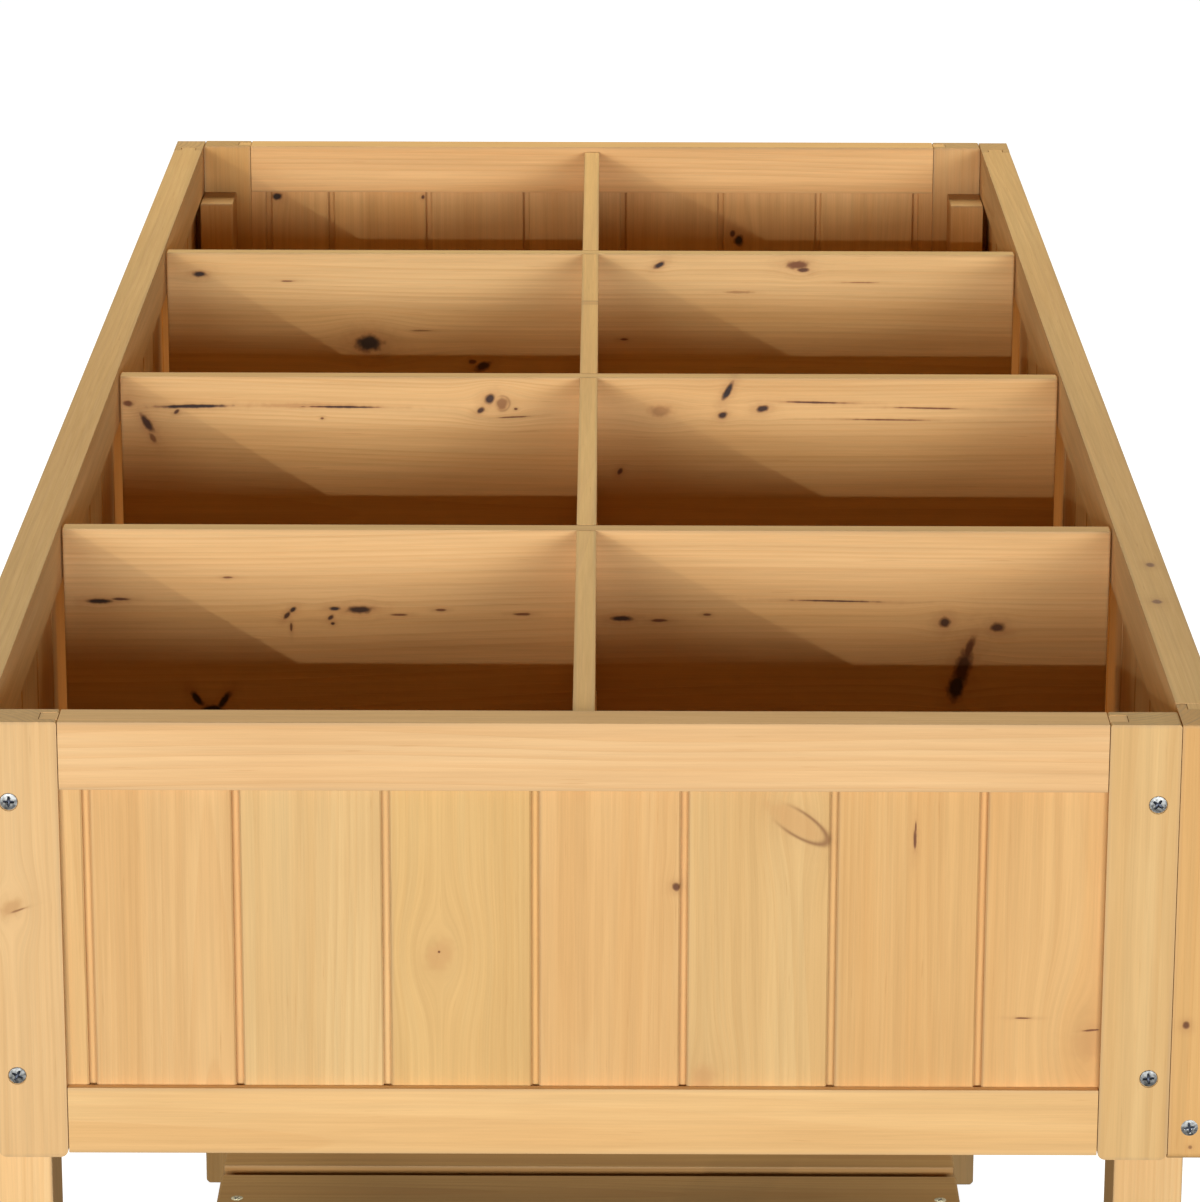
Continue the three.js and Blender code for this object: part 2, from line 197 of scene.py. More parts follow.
def wood_group():
    """Growth rings round a pith that wanders along the board, fibres, blotches, knots and worn arrises."""
    inputs = ("Along", "Across", "Depth", "Bent", "Core", "Dark", "Halo", "Bark", "Pith across",
              "Pith depth", "Ring", "Taper", "Wander", "Contrast", "Edge", "End", "Seed", "Color tint")
    g, i, o = new_group("softwood", inputs, ("Color", "Roughness", "Height"))
    seed = i["Seed"]
    along = g.add(i["Along"], g.mul(seed, 1.73))
    slow = g.xyz(g.mul(along, 2.1), g.mul(seed, 3.1), g.mul(i["Bent"], 2.0))
    slow_side = g.xyz(g.mul(along, 1.4), g.mul(seed, 5.3), 0.5)
    sway = g.mul(g.sub(g.noise(slow, 1.0, 1.5), 0.5), i["Wander"])
    dip = g.mul(g.sub(g.noise(slow_side, 1.0, 1.0), 0.5), i["Wander"])
    y = g.add(g.sub(i["Bent"], i["Pith across"]), sway)
    z = g.add(g.add(g.sub(i["Depth"], i["Pith depth"]), dip), g.mul(i["Along"], i["Taper"]))
    radius = g.math("SQRT", g.add(g.mul(y, y), g.mul(z, z)))
    uneven = g.noise(g.xyz(g.mul(radius, 90.0), seed, g.mul(along, 0.7)), 1.0, 2.0, 0.6)
    count = g.add(g.math("DIVIDE", radius, i["Ring"]), g.mul(g.sub(uneven, 0.5), 2.2))
    phase = g.math("FRACT", count)
    late = g.mul(g.smooth(phase, 0.25, 0.93), g.smooth(phase, 0.94, 1.0, 1.0, 0.0))
    which = g.noise(g.xyz(g.math("FLOOR", count), seed, 2.0), 0.83, 0.0)
    late = g.mul(late, g.smooth(which, 0.3, 0.7, 0.35, 1.0))
    fine = g.xyz(g.mul(along, 26.0), g.mul(i["Bent"], 1500.0), g.mul(i["Depth"], 1500.0))
    fibre = g.noise(fine, 1.0, 3.0, 0.62)
    coarse = g.xyz(g.mul(along, 5.0), g.mul(i["Bent"], 240.0), g.mul(i["Depth"], 240.0))
    streak = g.noise(coarse, 1.0, 2.0, 0.5)
    blotch = g.noise(g.xyz(g.mul(along, 7.0), g.mul(i["Across"], 18.0), g.mul(seed, 7.7)), 1.0, 3.0, 0.55)
    color = g.mix(g.mul(late, i["Contrast"]), EARLY, LATE)
    color = g.mix(g.mul(g.smooth(blotch, 0.38, 0.72), 0.45), color, BLOTCH)
    band = g.noise(g.xyz(g.mul(along, 1.1), g.mul(i["Bent"], 62.0), seed), 1.0, 2.0, 0.6)
    color = g.mix(g.smooth(band, 0.35, 0.70, 0.0, 0.42), color, LATE)
    shade = g.add(g.smooth(fibre, 0.25, 0.75, 0.955, 1.035), g.smooth(streak, 0.3, 0.72, 0.035, -0.045))
    color = g.mix(1.0, color, g.xyz(shade, shade, shade), "MULTIPLY")
    fleck = g.noise(g.xyz(g.mul(along, 42.0), g.mul(i["Bent"], 900.0), g.mul(i["Depth"], 900.0)), 1.0, 1.0)
    color = g.mix(g.smooth(fleck, 0.70, 0.80, 0.0, 0.30), color, HALO)
    color = g.mix(1.0, color, i["Color tint"], "MULTIPLY")
    color = g.mix(g.mul(i["Halo"], 0.5), color, STAIN)
    rings = g.math("SINE", g.mul(g.math("SQRT", i["Halo"]), 34.0))
    pale = g.mix(g.smooth(rings, -1.0, 1.0, 0.0, 0.4), KNOT_PALE, HALO)
    brown = g.mix(g.smooth(i["Dark"], 0.0, 0.45), pale, KNOT_BROWN)
    core = g.mix(g.smooth(i["Dark"], 0.45, 0.95), brown, KNOT_DEAD)
    color = g.mix(g.mul(i["Core"], g.smooth(i["Dark"], 0.0, 0.4, 0.5, 0.96)), color, core)
    color = g.mix(i["Bark"], color, KNOT_BROWN)
    worn = g.mul(i["Edge"], g.smooth(streak, 0.2, 0.8, 0.2, 0.62))
    color = g.mix(worn, color, (0.55, 0.33, 0.13))
    color = g.mix(g.mul(i["End"], g.smooth(late, 0.0, 1.0, 0.30, 0.68)), color, (0.42, 0.24, 0.09))
    g.feed(o["Color"], color)
    rough = g.add(g.mul(late, -0.06), g.smooth(fibre, 0.2, 0.8, 0.78, 0.68))
    g.feed(o["Roughness"], g.sub(rough, g.mul(i["Dark"], 0.2)))
    relief = g.add(g.mul(late, 0.55), g.mul(fibre, 0.5))
    g.feed(o["Height"], g.sub(relief, g.mul(i["Dark"], 1.2)))
    return g.tree


KNOT = knot_group()
WOOD = wood_group()
AXIS = {"X": 0, "Y": 1, "Z": 2}


class Knot:
    """A knot, pitch pocket or crack: its place in the frame in mm, along the grain and across it.

    radius is half its width in mm, stretch its length over its width, turn its slant in degrees.
    dark is 0 for a pale sound knot and 1 for a black one. rim draws the bark at its edge.
    depth, if given, is its place on the third axis, and then it doesn't go through the board.
    """

    def __init__(self, along, across, radius, stretch=1.4, dark=0.5, turn=0, bend=0.8, rim=0, depth=None):
        self.place = (along * MM, across * MM)
        self.depth = None if depth is None else depth * MM
        self.shape = (radius * MM, stretch, math.cos(math.radians(turn)), math.sin(math.radians(turn)))
        self.looks = (dark, bend, rim)


def wood(name, box, grain, face, seed, tint=(1, 1, 1), ring=2.6, pith=(0.0, 0.035), contrast=0.75,
         taper=0.012, wander=0.02, knots=()):
    """A softwood material for one board.

    grain is the axis along the board, face the axis across its main face; the third is its depth.
    """
    material = bpy.data.materials.new(name)
    material.use_nodes = True
    tree = material.node_tree
    tree.nodes.clear()
    g = Graph(tree)
    depth = ({"X", "Y", "Z"} - {grain, face}).pop()
    coords = g.node("ShaderNodeTexCoord")
    split = g.node("ShaderNodeSeparateXYZ", {0: coords.outputs["Object"]})
    normal = g.node("ShaderNodeSeparateXYZ", {0: coords.outputs["Normal"]})
    low, high = box
    place, spare = {}, {}
    for axis in (grain, face, depth):
        k = AXIS[axis]
        place[axis] = g.sub(split.outputs[k], (low[k] + high[k]) / 2)
        spare[axis] = g.sub((high[k] - low[k]) / 2, g.math("ABSOLUTE", place[axis]))
    a, b, c = (spare[x] for x in (grain, face, depth))
    to_edge = g.math("MAXIMUM", g.math("MINIMUM", a, b), g.math("MINIMUM", g.math("MAXIMUM", a, b), c))
    edge = g.smooth(to_edge, 0.0002, 0.0019, 1.0, 0.0)
    end = g.smooth(g.math("ABSOLUTE", normal.outputs[AXIS[grain]]), 0.7, 0.95)
    masks = {"Bent": place[face], "Core": 0.0, "Dark": 0.0, "Halo": 0.0, "Bark": 0.0}
    middle = [(low[AXIS[x]] + high[AXIS[x]]) / 2 for x in (grain, face)]
    ragged = None
    if knots:
        rough = g.noise(g.xyz(place[grain], place[face], seed), 260.0, 1.5, 0.5)
        ragged = g.smooth(rough, 0.25, 0.75, 0.84, 1.16)
    for knot in knots:
        made = g.node("ShaderNodeGroup", node_tree=KNOT)
        if knot.depth is not None:
            inward = g.sub(place[depth], knot.depth - (low[AXIS[depth]] + high[AXIS[depth]]) / 2)
            g.feed(made.inputs["Inward"], g.mul(inward, inward))
        for key, value in {"Along": place[grain], "Across": place[face], "Ragged": ragged, **masks}.items():
            g.feed(made.inputs[key], value)
        at = [knot.place[k] - middle[k] for k in (0, 1)]
        own = ("At along", "At across", "Radius", "Stretch", "Cosine", "Sine", "Darkness", "Bend", "Rim")
        for key, value in zip(own, (*at, *knot.shape, *knot.looks)):
            made.inputs[key].default_value = value
        masks = {key: made.outputs[key] for key in masks}
    made = g.node("ShaderNodeGroup", node_tree=WOOD)
    values = {"Along": place[grain], "Across": place[face], "Depth": place[depth], **masks,
              "Pith across": pith[0], "Pith depth": pith[1], "Ring": ring * MM, "Taper": taper,
              "Wander": wander, "Contrast": contrast, "Edge": edge, "End": end, "Seed": seed,
              "Color tint": (*tint, 1.0)}
    for key, value in values.items():
        g.feed(made.inputs[key], value)
    relief = {"Height": made.outputs["Height"], "Strength": 0.35, "Distance": 0.0004}
    bump = g.node("ShaderNodeBump", relief)
    inputs = {"Base Color": made.outputs["Color"], "Roughness": made.outputs["Roughness"],
              "Normal": bump.outputs[0], "Specular IOR Level": 0.22}
    shader = g.node("ShaderNodeBsdfPrincipled", inputs)
    output = g.node("ShaderNodeOutputMaterial")
    tree.links.new(shader.outputs[0], output.inputs[0])
    return material


def chance(name):
    """A random generator that is fixed by the piece's name."""
    return random.Random("planter " + name)


# ---- what is special about single boards ------------------------------------

# Each entry sets the tint, the knots or both for the piece of that name.
LOOK = {
    "near_end_top_rail": {"tint": (1.06, 1.05, 1.12)},
    "near_end_bottom_rail": {"tint": (1.07, 1.06, 1.03)},
    "near_end_stile_left": {"tint": (1.00, 1.01, 1.05), "knots": (
        Knot(627, -243, 3.4, 1.6, 0.12, 55, 1.6), Knot(626, -240, 0.6, 7, 0.3, 70, 0),
    )},
    "near_end_stile_right": {"tint": (0.96, 0.98, 0.95)},
    "near_end_board_1": {"tint": (0.98, 0.97, 0.92)},
    "near_end_board_2": {"tint": (0.99, 0.96, 0.92)},
    "near_end_board_3": {"tint": (0.97, 1.00, 0.98)},
    "near_end_board_4": {"tint": (0.97, 0.97, 0.86), "knots": (
        Knot(604.6, -61.1, 5.5, 1.3, 0.04, 30, 1.3), Knot(606, -61.5, 0.7, 1, 0.45),
    )},
    "near_end_board_5": {"tint": (1.00, 0.96, 0.90), "knots": (Knot(635.7, 39.6, 1.9, 1.0, 0.62),)},
    "near_end_board_6": {"tint": (0.95, 0.96, 0.91), "knots": (
        Knot(664.7, 90.4, 5.3, 2.9, 0.03, 124, 0.7, 0.9), Knot(548.5, 51.5, 5.5, 1.2, 0.10, 0, 0.7),
    )},
    "near_end_board_7": {"tint": (0.96, 0.90, 0.80), "knots": (
        Knot(657, 140.6, 0.8, 6, 0.55), Knot(663, 140.8, 0.5, 6, 0.4),
    )},
    "near_end_board_8": {"tint": (0.99, 0.93, 0.84), "knots": (
        Knot(567, 218.5, 7.5, 1.3, 0.10, 20, 1.2), Knot(571, 217.5, 0.5, 8, 0.5, 85, 0),
        Knot(576.5, 188.5, 0.5, 9, 0.4, 90, 0),
    )},
    "near_left_leg": {"tint": (1.18, 1.22, 1.30)},
    "right_side_stile_near": {"tint": (0.97, 0.90, 0.76), "knots": (
        Knot(575.3, -615, 1.6, 1.1, 0.6, 0, 0.5, 0, 257.9),
        Knot(519, -615, 1.2, 1.0, 0.3, 0, 0.2, 0, 261.6),
    )},
    "right_side_top_rail": {"knots": (
        Knot(-373, 710, 2.6, 1.6, 0.35, 0, 0.3, 0, 262.8),
        Knot(-433, 710, 2.9, 1.6, 0.35, 0, 0.3, 0, 259.8),
    )},
    "far_end_top_rail": {"tint": (1.15, 1.13, 1.12)},
    "far_end_stile_left": {"tint": (0.93, 0.88, 0.72)},
    "far_end_board_3": {"knots": (Knot(647.9, 96, 3.4, 1.2, 0.9), Knot(652, 92, 1.8, 1.4, 0.7))},
    "far_end_board_7": {"knots": (Knot(676, -110, 1.2, 1.2, 0.7),)},
    "far_end_board_8": {"knots": (Knot(676, -205, 2.6, 1.5, 0.95, 90),)},
    "far_left_leg": {"tint": (0.87, 0.81, 0.68)},
    "long_divider": {"tint": (1.17, 1.19, 1.20), "knots": (
        Knot(169.4, 707, 3.4, 1.4, 0.05, 0, 0.6, 0.9),
    )},
    "cross_divider_1": {"knots": (
        Knot(-234, 671, 1.3, 6, 0.9), Knot(-224, 672, 0.8, 6, 0.7), Knot(-141, 667, 1.3, 1.6, 0.9, 40),
        Knot(-144, 664, 1.2, 2.2, 0.8, 50), Knot(-142, 658, 0.7, 3.5, 0.6, 90),
        Knot(-121, 667.5, 1.2, 2.6, 0.95), Knot(-123, 663, 1.1, 1.6, 0.8, 40),
        Knot(-122, 660, 0.9, 1.3, 0.8), Knot(-109, 667, 2.1, 3.1, 0.85), Knot(-90, 664.5, 0.7, 6, 0.5),
        Knot(-70, 667, 0.7, 4, 0.5), Knot(-31, 665, 0.8, 6, 0.5), Knot(-172, 683, 0.6, 5, 0.4),
        Knot(-188, 622, 2.0, 2.6, 1.0, -55, 0.3), Knot(-181, 616.5, 2.4, 2.4, 1.0, 0, 0.3),
        Knot(-175, 621, 2.0, 2.8, 0.9, 55, 0.3), Knot(17, 663, 1.5, 4, 0.85),
        Knot(35, 662, 0.9, 5, 0.6), Knot(58, 665, 0.7, 3, 0.5), Knot(120, 672, 0.5, 44, 0.75, -1, 0),
        Knot(172.5, 661.5, 3.0, 1.1, 0.78), Knot(198, 659, 2.6, 1.6, 0.75),
        Knot(184.4, 648, 2.1, 3.4, 0.62, 72, 0.5), Knot(181.5, 638.5, 4.2, 2.6, 0.74, 74, 0.5),
        Knot(178.8, 629, 4.6, 1.8, 0.9, 78, 0.4),
    )},
    "cross_divider_2": {"knots": (
        Knot(-247, 692, 2.0, 1.5, 0.5), Knot(-212, 690.5, 1.1, 20, 0.98, 1, 0.2),
        Knot(-221, 687.5, 1.0, 2, 0.7, 40), Knot(-237, 681, 2.2, 3.0, 0.8, -58, 0.4),
        Knot(-234, 673, 1.8, 2.2, 0.35, -60, 0.4), Knot(-131, 690.3, 0.6, 34, 0.85, -0.5, 0.2),
        Knot(-150, 691, 1.6, 22, 0.15, 0, 0.2), Knot(-53, 695, 2.6, 1.3, 0.85, 40),
        Knot(-58, 688.5, 1.7, 1.5, 0.8, 30), Knot(-46.5, 692.5, 4.2, 1.0, 0.3, 0, 0.8, 0.5),
        Knot(-39, 689.5, 0.8, 1.5, 0.6), Knot(-40, 685, 0.5, 18, 0.45, 3, 0),
        Knot(-143, 684, 0.7, 1.5, 0.5), Knot(74.6, 699.5, 2.0, 3.0, 0.95, 62, 0.5),
        Knot(72, 686.5, 1.9, 1.4, 0.85, 20), Knot(93.5, 690, 2.0, 1.9, 0.85, 10),
        Knot(38.6, 688.5, 3.6, 2.0, 0.22), Knot(17, 655, 1.4, 1.6, 0.7, 60),
        Knot(122, 693.5, 0.6, 30, 0.7, -1, 0.1), Knot(182, 690.5, 0.5, 40, 0.55, -1, 0.1),
        Knot(160, 684, 0.45, 50, 0.5, -0.5, 0.1),
    )},
    "cross_divider_3": {"tint": (1.04, 1.08, 1.10), "knots": (
        Knot(-131.7, 652.4, 5.6, 1.5, 1.0, 0, 1.0), Knot(-231.5, 694.2, 2.0, 2.2, 0.9),
        Knot(-64, 638.5, 3.0, 1.8, 0.8, 20), Knot(-70, 641, 1.6, 1.6, 0.6),
        Knot(-180, 690, 0.6, 8, 0.4), Knot(-100, 660, 0.6, 12, 0.3), Knot(41, 700.5, 1.7, 2.2, 0.9, 30),
        Knot(122.4, 700.6, 2.9, 2.4, 0.45), Knot(126, 697.5, 1.6, 2.6, 0.7),
        Knot(88, 684, 0.9, 10, 0.2), Knot(160, 690, 0.5, 22, 0.3), Knot(20, 655, 0.9, 3, 0.5),
    )},
}


def board_look(name, defaults):
    """The keyword arguments of wood() for a piece: chance values, then the defaults, then its own entry."""
    dice = chance(name)
    warm, pale = dice.uniform(-0.035, 0.035), dice.uniform(-0.03, 0.03)
    look = {
        "seed": dice.uniform(0, 40),
        "tint": (1 + pale, 1 + pale - 0.3 * warm, 1 + pale - 1.2 * warm),
        "ring": dice.uniform(2.0, 3.4),
        "pith": (dice.uniform(-0.03, 0.03), dice.choice((-1, 1)) * dice.uniform(0.015, 0.06)),
        "taper": dice.uniform(-0.02, 0.02),
    }
    look.update(defaults)
    look.update(LOOK.get(name, {}))
    return look


def finish_wood(piece, name, box, grain, face, **defaults):
    material = wood("wood_" + name, box, grain, face, **board_look(name, defaults))
    piece.data.materials.clear()
    piece.data.materials.append(material)


# ---- CAD timber -------------------------------------------------------------

def ease_edges(piece, width, segments=2):
    """Merges the corners of a CAD solid's faces and rounds its arrises."""
    piece.modifiers.new("weld", "WELD").merge_threshold = 0.00001
    bevel = piece.modifiers.new("eased", "BEVEL")
    bevel.width = width
    bevel.segments = segments
    bevel.limit_method = "ANGLE"
    bevel.angle_limit = math.radians(40)
    bevel.use_clamp_overlap = True


def timber(name, grain, face, width=0.0007, **defaults):
    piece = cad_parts[name]
    ease_edges(piece, width)
    finish_wood(piece, name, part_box(name), grain, face, **defaults)


def all_timber():
    for end in ("near", "far"):
        for side in ("left", "right"):
            timber(f"{end}_end_stile_{side}", "Z", "X", 0.0004, contrast=0.42)
            timber(f"{end}_{side}_leg", "Z", "X", 0.0014, contrast=0.42)
        for rail in ("top", "bottom"):
            timber(f"{end}_end_{rail}_rail", "X", "Z", 0.0004, contrast=0.42)
        timber(f"{end}_floor_bearer", "X", "Z")
    for side in ("left", "right"):
        for end in ("near", "far"):
            timber(f"{side}_side_stile_{end}", "Z", "Y", 0.0004, contrast=0.42)
        for rail in ("top", "bottom"):
            timber(f"{side}_side_{rail}_rail", "Y", "Z", 0.0004, contrast=0.5)
        timber(f"shelf_bearer_{side}", "Y", "Z")
    timber("long_divider", "Y", "Z", contrast=0.45)
    for i in (1, 2, 3):
        timber(f"cross_divider_{i}", "X", "Z", contrast=0.5)
    for i in range(1, 7):
        timber(f"floor_board_{i}", "Y", "X", tint=(0.72, 0.66, 0.58))
    timber("middle_floor_bearer", "X", "Z")
    for i in range(1, 14):
        # The slats' darker, more saturated tint is painted shade: it stands in for the shadow the box above
        # casts on the shelf.
        timber(f"shelf_slat_{i}", "X", "Y", 0.0012, tint=(0.65, 0.59, 0.48))


# ---- tongue-and-groove boards -----------------------------------------------

BOARD = 9 * MM
PITCH = 63.4 * MM
TONGUE_SHOWS = 3.3 * MM
TONGUE = 2.8 * MM  # thickness
TONGUE_LENGTH = 6.2 * MM
TONGUE_CORNER = 0.4 * MM
GROOVE = 3.2 * MM  # width
GROOVE_DEPTH = 3.4 * MM
EASED = 0.7 * MM
STILE_WIDTH = 30 * MM
END_LENGTH = 503.4 * MM
SIDE_LENGTH = 1230 * MM
FIRST_JOINT = 9.3 * MM  # from the left stile
EXTRA_JOINT = 208.7 * MM  # on the far end wall, right of its middle as seen from outside
THINNEST_BOARD = 4 * MM
SLIP_BOTTOM = 1.05 * MM  # below the rim, just past the top of the CAD tenon
SLIP_TOP = 0.12 * MM  # below the rim


def board_outline(x0, x1, tongue):
    """A board's section from face x0 to face x1, with a groove at x0 and a tongue at x1 if it has one."""
    t, g, e = BOARD / 2, GROOVE / 2, EASED
    points = [(x0 + e, -t), (x1 - e, -t), (x1, -t + e)]
    if tongue:
        h, c = TONGUE / 2, TONGUE_CORNER
        tip = x1 + TONGUE_LENGTH
        points += [(x1, -h), (tip - c, -h), (tip, -h + c), (tip, h - c), (tip - c, h), (x1, h)]
    points += [(x1, t - e), (x1 - e, t), (x0 + e, t), (x0, t - e)]
    points += [(x0, g), (x0 + GROOVE_DEPTH, g), (x0 + GROOVE_DEPTH, -g), (x0, -g), (x0, -t + e)]
    return points


def prism(name, outline, z0, z1, place):
    """A mesh object: an outline in X and Y drawn from z0 to z1 and moved by a matrix."""
    bm = bmesh.new()
    ring = [bm.verts.new((x, y, z0)) for x, y in outline]
    bottom = bm.faces.new(ring)
    made = bmesh.ops.extrude_face_region(bm, geom=[bottom])
    top = [v for v in made["geom"] if isinstance(v, bmesh.types.BMVert)]
    bmesh.ops.translate(bm, verts=top, vec=(0, 0, z1 - z0))
    bmesh.ops.recalc_face_normals(bm, faces=bm.faces)
    bmesh.ops.transform(bm, matrix=place, verts=bm.verts)
    mesh = bpy.data.meshes.new(name)
    bm.to_mesh(mesh)
    bm.free()
    piece = bpy.data.objects.new(name, mesh)
    bpy.context.scene.collection.objects.link(piece)
    return piece


def tenon_tops():
    """Slips of the top rails' wood that fill the open mortises up to the rim."""
    for wall, along, ends in (("near_end", 0, "left right"), ("far_end", 0, "left right"),
                              ("left_side", 1, "near far"), ("right_side", 1, "near far")):
        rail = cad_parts[f"{wall}_top_rail"]
        low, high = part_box(rail.name)
        middle = (low[1 - along] + high[1 - along]) / 2
        for end in ends.split():
            stile_low, stile_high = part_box(f"{wall}_stile_{end}")
            outward = stile_low[along] + stile_high[along] > low[along] + high[along]
            u0, u1 = (stile_low[along], high[along]) if outward else (low[along], stile_high[along])
            v0, v1 = middle - 0.49 * BOARD, middle + 0.49 * BOARD
            corners = [(u0, v0), (u1, v0), (u1, v1), (u0, v1)]
            outline = [corner if along == 0 else corner[::-1] for corner in corners]
            name = f"{wall}_tenon_top_{end}"
            slip = prism(name, outline, high[2] - SLIP_BOTTOM, high[2] - SLIP_TOP, Matrix.Identity(4))
            slip.data.materials.append(rail.data.materials[0])
            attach(slip, "planter_body")


def box_of(piece):
    corners = [Vector(v.co) for v in piece.data.vertices]
    low = Vector([min(c[k] for c in corners) for k in range(3)])
    high = Vector([max(c[k] for c in corners) for k in range(3)])
    return low, high


def wall_boards(wall, turn, length, extra=None):
    """The separate boards of one wall. turn is the wall's heading about Z; extra is one more joint."""
    node = f"{wall}_boards"
    low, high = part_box(node)
    middle = (low + high) / 2
    along = 0 if high[0] - low[0] > high[1] - low[1] else 1
    reach = (high[along] - low[along]) / 2
    opening = length / 2 - STILE_WIDTH
    joints = []
    x = FIRST_JOINT - opening
    while x < opening:
        joints.append(x)
        x += PITCH
    if extra is not None:
        joints = sorted(joints + [extra])
    place = Matrix.Translation((middle[0], middle[1], 0)) @ Matrix.Rotation(turn, 4, "Z")
    starts = [-reach] + [j + TONGUE_SHOWS for j in joints]
    ends = joints + [reach]
    for i, (x0, x1) in enumerate(zip(starts, ends)):
        last = i == len(starts) - 1
        if x1 - x0 < THINNEST_BOARD:
            continue
        name = f"{wall}_board_{i + 1}"
        piece = prism(name, board_outline(x0, x1, not last), low[2], high[2], place)
        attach(piece, "planter_body")
        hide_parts(node)
        finish_wood(piece, name, box_of(piece), "Z", "XY"[along], contrast=0.30)


def all_wall_boards():
    wall_boards("near_end", 0.0, END_LENGTH)
    wall_boards("far_end", math.pi, END_LENGTH, extra=EXTRA_JOINT)
    wall_boards("left_side", -math.pi / 2, SIDE_LENGTH)
    wall_boards("right_side", math.pi / 2, SIDE_LENGTH)


# ---- screws -----------------------------------------------------------------

def steel(name, low, high, metallic):
    """Zinc plated steel, faintly mottled; its near-black version is painted shade for the screws' cross
    slots.
    """
    material = bpy.data.materials.new(name)
    material.use_nodes = True
    tree = material.node_tree
    shader = tree.nodes["Principled BSDF"]
    g = Graph(tree)
    spot = g.noise(g.node("ShaderNodeTexCoord").outputs["Object"], 900.0, 3.0)
    g.feed(shader.inputs["Base Color"], g.mix(spot, low, high))
    g.feed(shader.inputs["Roughness"], g.smooth(spot, 0.3, 0.7, 0.30, 0.46))
    shader.inputs["Metallic"].default_value = metallic
    return material


STEEL = steel("zinc_plate", (0.38, 0.35, 0.26), (0.62, 0.57, 0.43), 1.0)
# The near-black steel is painted shade: it colours the screws' cross slots dark, the way shade inside a
# slot looks.
SLOT_SHADE_STEEL = steel("zinc_slot_painted_shade", (0.030, 0.031, 0.033), (0.075, 0.077, 0.080), 0.3)
HEAD = 3.65 * MM
HEAD_DEPTH = 2.6 * MM
SHANK = 2.0 * MM
DOME = 0.25 * MM
PROUD = 0.3 * MM
LEG_SLOT = 1.7 * MM
# Such a slot is almost flat, so it shows mostly through the painted shade of its dark steel.
FACE_SLOT = 0.1 * MM  # of a head that stands on wood with no hole under it
WALL_MIDDLE = 9 * MM  # from a wall's outer face
FRAME_SCREW_HEIGHT = 528 * MM
WALL_SCREW_HEIGHTS = {"lower": 570 * MM, "upper": 655 * MM}
SLAT_SCREW_INSET = 12 * MM


def recess(x, y):
    """How deep the cross slot is at a point of the head, as a share of its depth."""
    arm = 2.35 * MM
    deep = 0.0
    for u, v in ((abs(x), abs(y)), (abs(y), abs(x))):
        wide = 0.62 * MM * (1 - 0.25 * u / arm)
        if u < arm and v < wide:
            deep = max(deep, (1 - (u / arm) ** 2 * 0.55) * min(1, (wide - v) / (0.16 * MM)))
    return deep


def screw_mesh(length, slot):
    """A countersunk cross-slot screw with its head's top at z = 0, pointing down.

    slot is how deep the slot is.
    """
    bm = bmesh.new()
    step = HEAD / 22
    grid = {}
    span = 23
    for i in range(-span, span + 1):
        for j in range(-span, span + 1):
            x, y = i * step, j * step
            r = math.hypot(x, y)
            if r <= HEAD * 0.995:
                dome = DOME * (1 - (r / HEAD) ** 2)
                grid[i, j] = bm.verts.new((x, y, dome - slot * recess(x, y) - DOME))
    for (i, j), v in grid.items():
        others = [grid.get(k) for k in ((i + 1, j), (i + 1, j + 1), (i, j + 1))]
        if all(others):
            bm.faces.new((v, *others))
    border = [e for e in bm.edges if e.is_boundary]
    for v in {v for e in border for v in e.verts}:
        r = math.hypot(v.co.x, v.co.y)
        v.co.x *= HEAD / r
        v.co.y *= HEAD / r
    rims = [(HEAD, -0.45 * MM), (SHANK, -HEAD_DEPTH), (SHANK, -length + 5 * MM), (0.3 * MM, -length)]
    for radius, z in rims:
        made = bmesh.ops.extrude_edge_only(bm, edges=border)["geom"]
        verts = [v for v in made if isinstance(v, bmesh.types.BMVert)]
        border = [e for e in made if isinstance(e, bmesh.types.BMEdge)]
        for v in verts:
            r = math.hypot(v.co.x, v.co.y)
            v.co = (v.co.x * radius / r, v.co.y * radius / r, z)
    bmesh.ops.holes_fill(bm, edges=border)
    bmesh.ops.recalc_face_normals(bm, faces=bm.faces)
    for face in bm.faces:
        middle = face.calc_center_median()
        # Faces in the cross slot take the near-black steel, which is painted shade for the slot.
        in_slot = recess(middle.x, middle.y) > 0.18 and middle.z > -2 * MM
        face.material_index = 1 if in_slot else 0
    mesh = bpy.data.meshes.new("screw")
    bm.to_mesh(mesh)
    bm.free()
    mesh.materials.append(STEEL)
    mesh.materials.append(SLOT_SHADE_STEEL)
    return mesh


def screw(name, head, direction, mesh, angle, node=None):
    """Places a screw with its head's top at a point, driven in along a direction."""
    turn = Vector(direction).to_track_quat("-Z", "Y").to_matrix().to_4x4()
    own = mesh.copy()
    own.transform(Matrix.Translation(head) @ turn @ Matrix.Rotation(angle, 4, "Z"))
    piece = bpy.data.objects.new(name, own)
    bpy.context.scene.collection.objects.link(piece)
    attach(piece, "planter_body")
    if node:
        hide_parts(node)


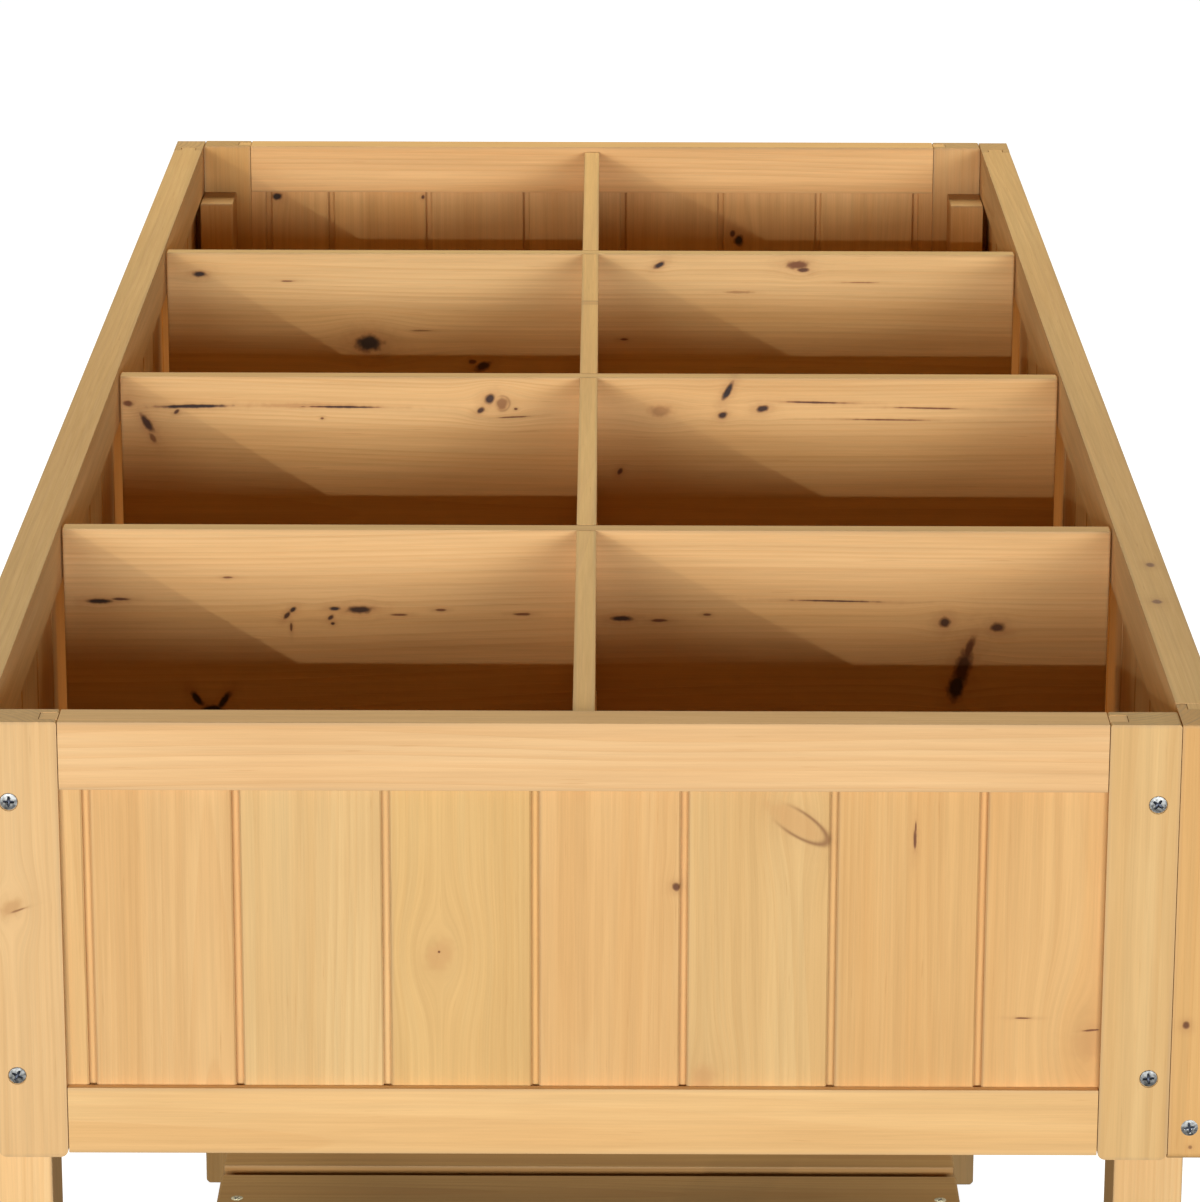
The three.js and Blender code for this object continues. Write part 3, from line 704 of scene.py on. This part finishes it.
def all_screws():
    leg_screw = screw_mesh(40 * MM, LEG_SLOT)
    wall_screw = screw_mesh(40 * MM, FACE_SLOT)
    slat_screw = screw_mesh(25 * MM, FACE_SLOT)
    low, high = cad_box
    for end, sign in (("near", -1), ("far", 1)):
        for side in ("left", "right"):
            for level in ("lower", "upper"):
                node = f"{end}_{side}_{level}_screw"
                a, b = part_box(node)
                face = a[1] if sign < 0 else b[1]
                head = ((a[0] + b[0]) / 2, face, (a[2] + b[2]) / 2)
                angle = chance(node).uniform(0, math.pi / 2)
                screw(node + "_steel", head, (0, -sign, 0), leg_screw, angle, node=node)
            x = high[0] - WALL_MIDDLE if side == "right" else low[0] + WALL_MIDDLE
            name = f"{side}_side_frame_screw_{end}"
            head = (x, sign * (high[1] + PROUD), FRAME_SCREW_HEIGHT)
            screw(name, head, (0, -sign, 0), wall_screw, chance(name).uniform(0, 1.5))
            for level, z in WALL_SCREW_HEIGHTS.items():
                name = f"{side}_side_wall_screw_{end}_{level}"
                outward = 1 if side == "right" else -1
                head = (outward * (high[0] + PROUD), sign * (high[1] - WALL_MIDDLE), z)
                screw(name, head, (-outward, 0, 0), wall_screw, chance(name).uniform(0, 1.5))
    for i in range(1, 14):
        a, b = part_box(f"shelf_slat_{i}")
        for side, x in (("left", a[0] + SLAT_SCREW_INSET), ("right", b[0] - SLAT_SCREW_INSET)):
            name = f"shelf_screw_{side}_{i}"
            head = (x, (a[1] + b[1]) / 2, b[2] + PROUD)
            screw(name, head, (0, 0, -1), slat_screw, chance(name).uniform(0, 1.5))


# ---- stage ------------------------------------------------------------------

def plain_floor():
    """A pale floor, bright enough to read as a white sweep."""
    material = bpy.data.materials.new("pale_floor")
    material.use_nodes = True
    shader = material.node_tree.nodes["Principled BSDF"]
    shader.inputs["Base Color"].default_value = (0.30, 0.30, 0.30, 1)
    shader.inputs["Roughness"].default_value = 0.9
    shader.inputs["Emission Color"].default_value = (1, 1, 1, 1)
    shader.inputs["Emission Strength"].default_value = 0.95
    bm = bmesh.new()
    bmesh.ops.create_grid(bm, x_segments=1, y_segments=1, size=60)
    mesh = bpy.data.meshes.new("floor")
    bm.to_mesh(mesh)
    bm.free()
    floor = bpy.data.objects.new("floor", mesh)
    mesh.materials.append(material)
    bpy.context.scene.collection.objects.link(floor)
    floor.visible_diffuse = False
    floor.visible_glossy = False
    floor.visible_shadow = False


PANELS_Y = -5.0
LOW_TONE = (1.0, 1.17, 1.64)
HIGH_TONE = (1.0, 1.03, 1.15)


def panel(name, middle, size, toward, power, tone):
    """A rectangular studio light facing a point."""
    data = bpy.data.lights.new(name, "AREA")
    data.shape = "RECTANGLE"
    data.size, data.size_y = size
    data.energy = power
    data.color = tone
    light = bpy.data.objects.new(name, data)
    light.location = middle
    light.rotation_euler = (Vector(toward) - Vector(middle)).to_track_quat("-Z", "Y").to_euler()
    bpy.context.scene.collection.objects.link(light)


def front_panel(name, left, right, bottom, top, strength, tone):
    """An upright panel in front of the near end. strength is its power per square metre."""
    middle = ((left + right) / 2, PANELS_Y, (bottom + top) / 2)
    size = (right - left, top - bottom)
    panel(name, middle, size, (middle[0], 0, middle[2]), strength * size[0] * size[1], tone)


def lighting():
    front_panel("left_inner_low", -1.30, -0.60, 1.00, 1.38, 114, LOW_TONE)
    front_panel("left_inner_high", -1.30, -0.60, 1.38, 1.78, 110, HIGH_TONE)
    front_panel("left_outer_low", -1.96, -1.30, 1.00, 1.38, 84, LOW_TONE)
    front_panel("left_outer_high", -1.96, -1.30, 1.38, 1.78, 38, HIGH_TONE)
    front_panel("left_far", -2.75, -1.96, 1.00, 1.62, 50, LOW_TONE)
    front_panel("right_inner_low", 0.40, 1.20, 1.00, 1.38, 94, LOW_TONE)
    front_panel("right_inner_high", 0.40, 1.20, 1.38, 1.60, 91, HIGH_TONE)
    front_panel("right_outer_low", 1.20, 2.20, 1.00, 1.38, 126, LOW_TONE)
    front_panel("right_outer_high", 1.20, 2.20, 1.38, 1.78, 92, HIGH_TONE)
    front_panel("bare_lamp", -1.97, -1.95, 1.755, 1.775, 94000, (1.0, 0.97, 1.0))
    panel("back_softbox", (0, 3.0, 3.6), (3.0, 1.5), (0, 0, 0.5), 150, (1.0, 1.0, 0.84))
    for name, x in (("left_fill", -3.5), ("right_fill", 3.5)):
        panel(name, (x, 0, 0.45), (1.4, 0.4), (0, 0, 0.45), 8, (1.0, 0.92, 0.80))
    world = bpy.data.worlds.new("studio")
    bpy.context.scene.world = world
    world.use_nodes = True
    back = world.node_tree.nodes["Background"]
    back.inputs["Color"].default_value = (0.010, 0.011, 0.013, 1)


bpy.context.scene.view_settings.view_transform = "Standard"
all_timber()
all_wall_boards()
tenon_tops()
all_screws()
plain_floor()
lighting()
